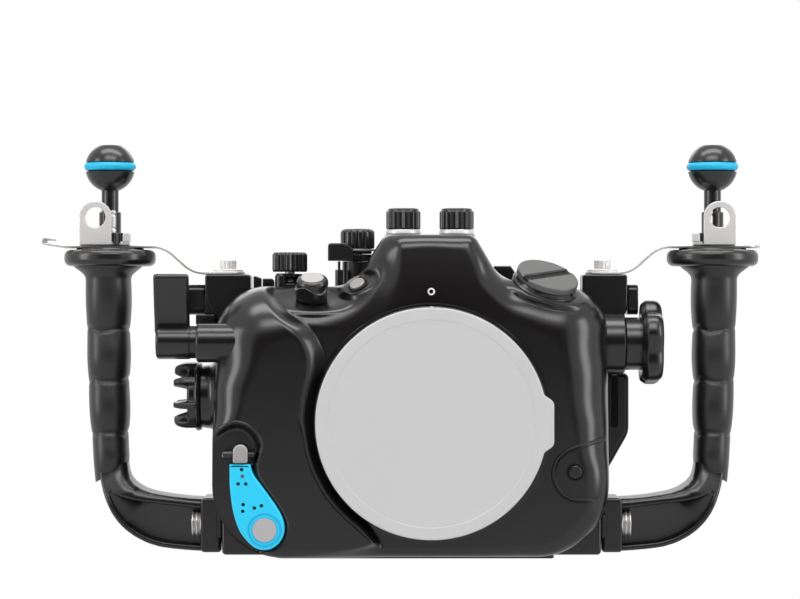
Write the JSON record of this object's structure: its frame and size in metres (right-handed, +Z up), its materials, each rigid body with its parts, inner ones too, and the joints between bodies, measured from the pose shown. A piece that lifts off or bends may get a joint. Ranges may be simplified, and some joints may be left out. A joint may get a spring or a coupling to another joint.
{
  "type": "underwater camera housing",
  "caption": "Two-part black metal underwater housing for a mirrorless camera, with a capped front port, knobs and levers on every side, side grips on arms, and ball mounts on top.",
  "frame": {"origin": "on the flat underside of the base plate, midway between the two handles and under the plane of the handles", "axes": "+Z up, square to the base plate; +X to the right as seen from the front, along the longest extent; +Y to the back, so the port faces -Y"},
  "size_m": [0.3683, 0.1407, 0.2082],
  "materials": {
    "anodised": "satin black anodised aluminium",
    "handle_metal": "satin black coated cast aluminium",
    "grip_rubber": "matt black moulded rubber",
    "steel": "bright stainless steel, lightly brushed",
    "grey_metal": "satin grey anodised aluminium",
    "cap_plastic": "matt light grey moulded plastic",
    "teal_plastic": "satin teal moulded plastic",
    "teal_rubber": "teal silicone rubber",
    "window_glass": "clear polished window",
    "board": "green circuit board"
  },
  "bodies": {
    "housing": {"front_shell": "anodised", "port_ring": "anodised", "base_plate": "anodised", "left_side_bracket": "anodised", "right_side_bracket": "anodised", "left_ball_mount": "anodised", "right_ball_mount": "anodised", "camera_tray": "anodised", "left_handle_arm": "handle_metal", "right_handle_arm": "handle_metal", "left_handle_cap": "handle_metal", "right_handle_cap": "handle_metal", "left_grip": "grip_rubber", "right_grip": "grip_rubber", "port_seal": "grip_rubber", "left_strap": "steel", "right_strap": "steel", "left_lug": "steel", "right_lug": "steel", "left_strap_bolt": "steel", "right_strap_bolt": "steel", "left_arm_bolt": "steel", "right_arm_bolt": "steel", "left_bulkhead": "steel", "right_bulkhead": "steel", "pawl_pin": "steel", "left_ball_ring": "teal_rubber", "right_ball_ring": "teal_rubber", "leak_sensor_board": "board"},
    "cap": {"port_cap": "cap_plastic"},
    "left_screw_cap": {"left_bulkhead_cap": "anodised"},
    "right_screw_cap": {"right_bulkhead_cap": "anodised"},
    "plug": {"accessory_plug": "grey_metal"},
    "lock_lever": {"port_lock_lever": "teal_plastic"},
    "lock_pawl": {"port_lock_pawl": "grey_metal"},
    "release_button": {"lens_release_button": "grey_metal"},
    "front_button": {"front_button": "grey_metal"},
    "power_knob": {"power_knob": "anodised"},
    "mode_knob": {"mode_knob": "anodised"},
    "drive_lever": {"drive_lever": "anodised"},
    "exposure_knob": {"exposure_knob": "anodised", "exposure_gear": "steel"},
    "idler": {"idler_gear": "steel"},
    "shutter_lever": {"shutter_lever": "anodised"},
    "main_dial": {"main_dial": "anodised"},
    "focus_knob": {"focus_knob": "anodised"},
    "left_latch": {"left_latch": "anodised"},
    "right_latch": {"right_latch": "anodised"},
    "rear_housing": {"rear_shell": "anodised", "main_seal": "teal_rubber", "screen_window": "window_glass", "screen_frame": "anodised", "viewfinder_ring": "grip_rubber", "viewfinder_window": "window_glass"},
    "rear_dial": {"rear_dial": "anodised"},
    "thumb_lever": {"thumb_lever": "anodised"},
    "ok_button": {"ok_button": "grey_metal"},
    "playback_button": {"playback_button": "grey_metal"},
    "delete_button": {"delete_button": "grey_metal"},
    "menu_button": {"menu_button": "grey_metal"}
  },
  "joints": [
    {"name": "cap_slide", "type": "slide", "parent": "housing", "child": "cap", "axis": [0, -1, 0], "range_m": [0, 0.03]},
    {"name": "left_screw_cap_turn", "type": "hinge", "parent": "housing", "child": "left_screw_cap", "pos_m": [-0.0041, -0.015, 0.17], "axis": [0, 0, 1], "continuous": true},
    {"name": "right_screw_cap_turn", "type": "hinge", "parent": "housing", "child": "right_screw_cap", "pos_m": [0.023, -0.015, 0.17], "axis": [0, 0, 1], "continuous": true},
    {"name": "plug_turn", "type": "hinge", "parent": "housing", "child": "plug", "pos_m": [0.0663, -0.0376, 0.1346], "axis": [0.25, -0.425, 0.87], "continuous": true},
    {"name": "lock_lever_turn", "type": "hinge", "parent": "housing", "child": "lock_lever", "pos_m": [-0.0724, -0.0618, 0.0157], "axis": [0, -1, 0], "range_deg": [0, 70]},
    {"name": "lock_pawl_rock", "type": "hinge", "parent": "housing", "child": "lock_pawl", "pos_m": [-0.0844, -0.062, 0.0526], "axis": [-1, 0, 0], "range_deg": [0, 12], "stiffness_Nm_per_rad": 0.02, "springref_deg": -17.19},
    {"name": "release_button_press", "type": "slide", "parent": "housing", "child": "release_button", "axis": [0, 1, 0], "range_m": [0, 0.003], "stiffness_N_per_m": 400, "springref_m": -0.001},
    {"name": "front_button_press", "type": "slide", "parent": "housing", "child": "front_button", "axis": [0.3505, 0.5458, -0.7611], "range_m": [0, 0.0015], "stiffness_N_per_m": 400, "springref_m": -0.001},
    {"name": "power_knob_turn", "type": "hinge", "parent": "housing", "child": "power_knob", "pos_m": [-0.0495, -0.0401, 0.1297], "axis": [0, -0.4305, 0.9026], "range_deg": [-30, 30]},
    {"name": "mode_knob_turn", "type": "hinge", "parent": "housing", "child": "mode_knob", "pos_m": [-0.0274, -0.014, 0.16], "axis": [0, 0, 1], "continuous": true},
    {"name": "drive_lever_turn", "type": "hinge", "parent": "housing", "child": "drive_lever", "pos_m": [-0.0274, -0.014, 0.15], "axis": [0, 0, 1], "range_deg": [-30, 30]},
    {"name": "exposure_knob_turn", "type": "hinge", "parent": "housing", "child": "exposure_knob", "pos_m": [-0.062, -0.01, 0.148], "axis": [0, 0, 1], "continuous": true},
    {"name": "idler_turn", "type": "hinge", "parent": "housing", "child": "idler", "pos_m": [-0.0476, -0.01, 0.124], "axis": [0, 0, 1], "continuous": true},
    {"name": "shutter_lever_press", "type": "hinge", "parent": "housing", "child": "shutter_lever", "pos_m": [-0.12, -0.022, 0.1075], "axis": [-1, 0, 0], "range_deg": [0, 12], "stiffness_Nm_per_rad": 0.3, "springref_deg": -8.59},
    {"name": "main_dial_turn", "type": "hinge", "parent": "housing", "child": "main_dial", "pos_m": [-0.112, -0.015, 0.0798], "axis": [1, 0, 0], "continuous": true},
    {"name": "focus_knob_turn", "type": "hinge", "parent": "housing", "child": "focus_knob", "pos_m": [0.12, -0.012, 0.1066], "axis": [1, 0, 0], "continuous": true},
    {"name": "left_latch_turn", "type": "hinge", "parent": "housing", "child": "left_latch", "pos_m": [-0.109, 0.006, 0.129], "axis": [-1, 0, 0], "range_deg": [0, 90]},
    {"name": "right_latch_turn", "type": "hinge", "parent": "housing", "child": "right_latch", "pos_m": [0.113, 0.006, 0.129], "axis": [-1, 0, 0], "range_deg": [0, 90]},
    {"name": "rear_housing_pull", "type": "slide", "parent": "housing", "child": "rear_housing", "axis": [0, 1, 0], "range_m": [0, 0.12]},
    {"name": "rear_dial_turn", "type": "hinge", "parent": "rear_housing", "child": "rear_dial", "pos_m": [-0.07, 0.057, 0.112], "axis": [0, 1, 0], "continuous": true},
    {"name": "thumb_lever_turn", "type": "hinge", "parent": "rear_housing", "child": "thumb_lever", "pos_m": [-0.082, 0.055, 0.092], "axis": [0, 1, 0], "range_deg": [-12, 12], "stiffness_Nm_per_rad": 0.1},
    {"name": "ok_button_press", "type": "slide", "parent": "rear_housing", "child": "ok_button", "axis": [0, -1, 0], "range_m": [0, 0.0018], "stiffness_N_per_m": 400, "springref_m": -0.001},
    {"name": "playback_button_press", "type": "slide", "parent": "rear_housing", "child": "playback_button", "axis": [0, -1, 0], "range_m": [0, 0.0018], "stiffness_N_per_m": 400, "springref_m": -0.001},
    {"name": "delete_button_press", "type": "slide", "parent": "rear_housing", "child": "delete_button", "axis": [0, -1, 0], "range_m": [0, 0.0018], "stiffness_N_per_m": 400, "springref_m": -0.001},
    {"name": "menu_button_press", "type": "slide", "parent": "rear_housing", "child": "menu_button", "axis": [0, -1, 0], "range_m": [0, 0.0018], "stiffness_N_per_m": 400, "springref_m": -0.001}
  ],
  "couplings": [
    {"joint": "idler_turn", "follows": "exposure_knob_turn", "ratio": -1.4}
  ]
}
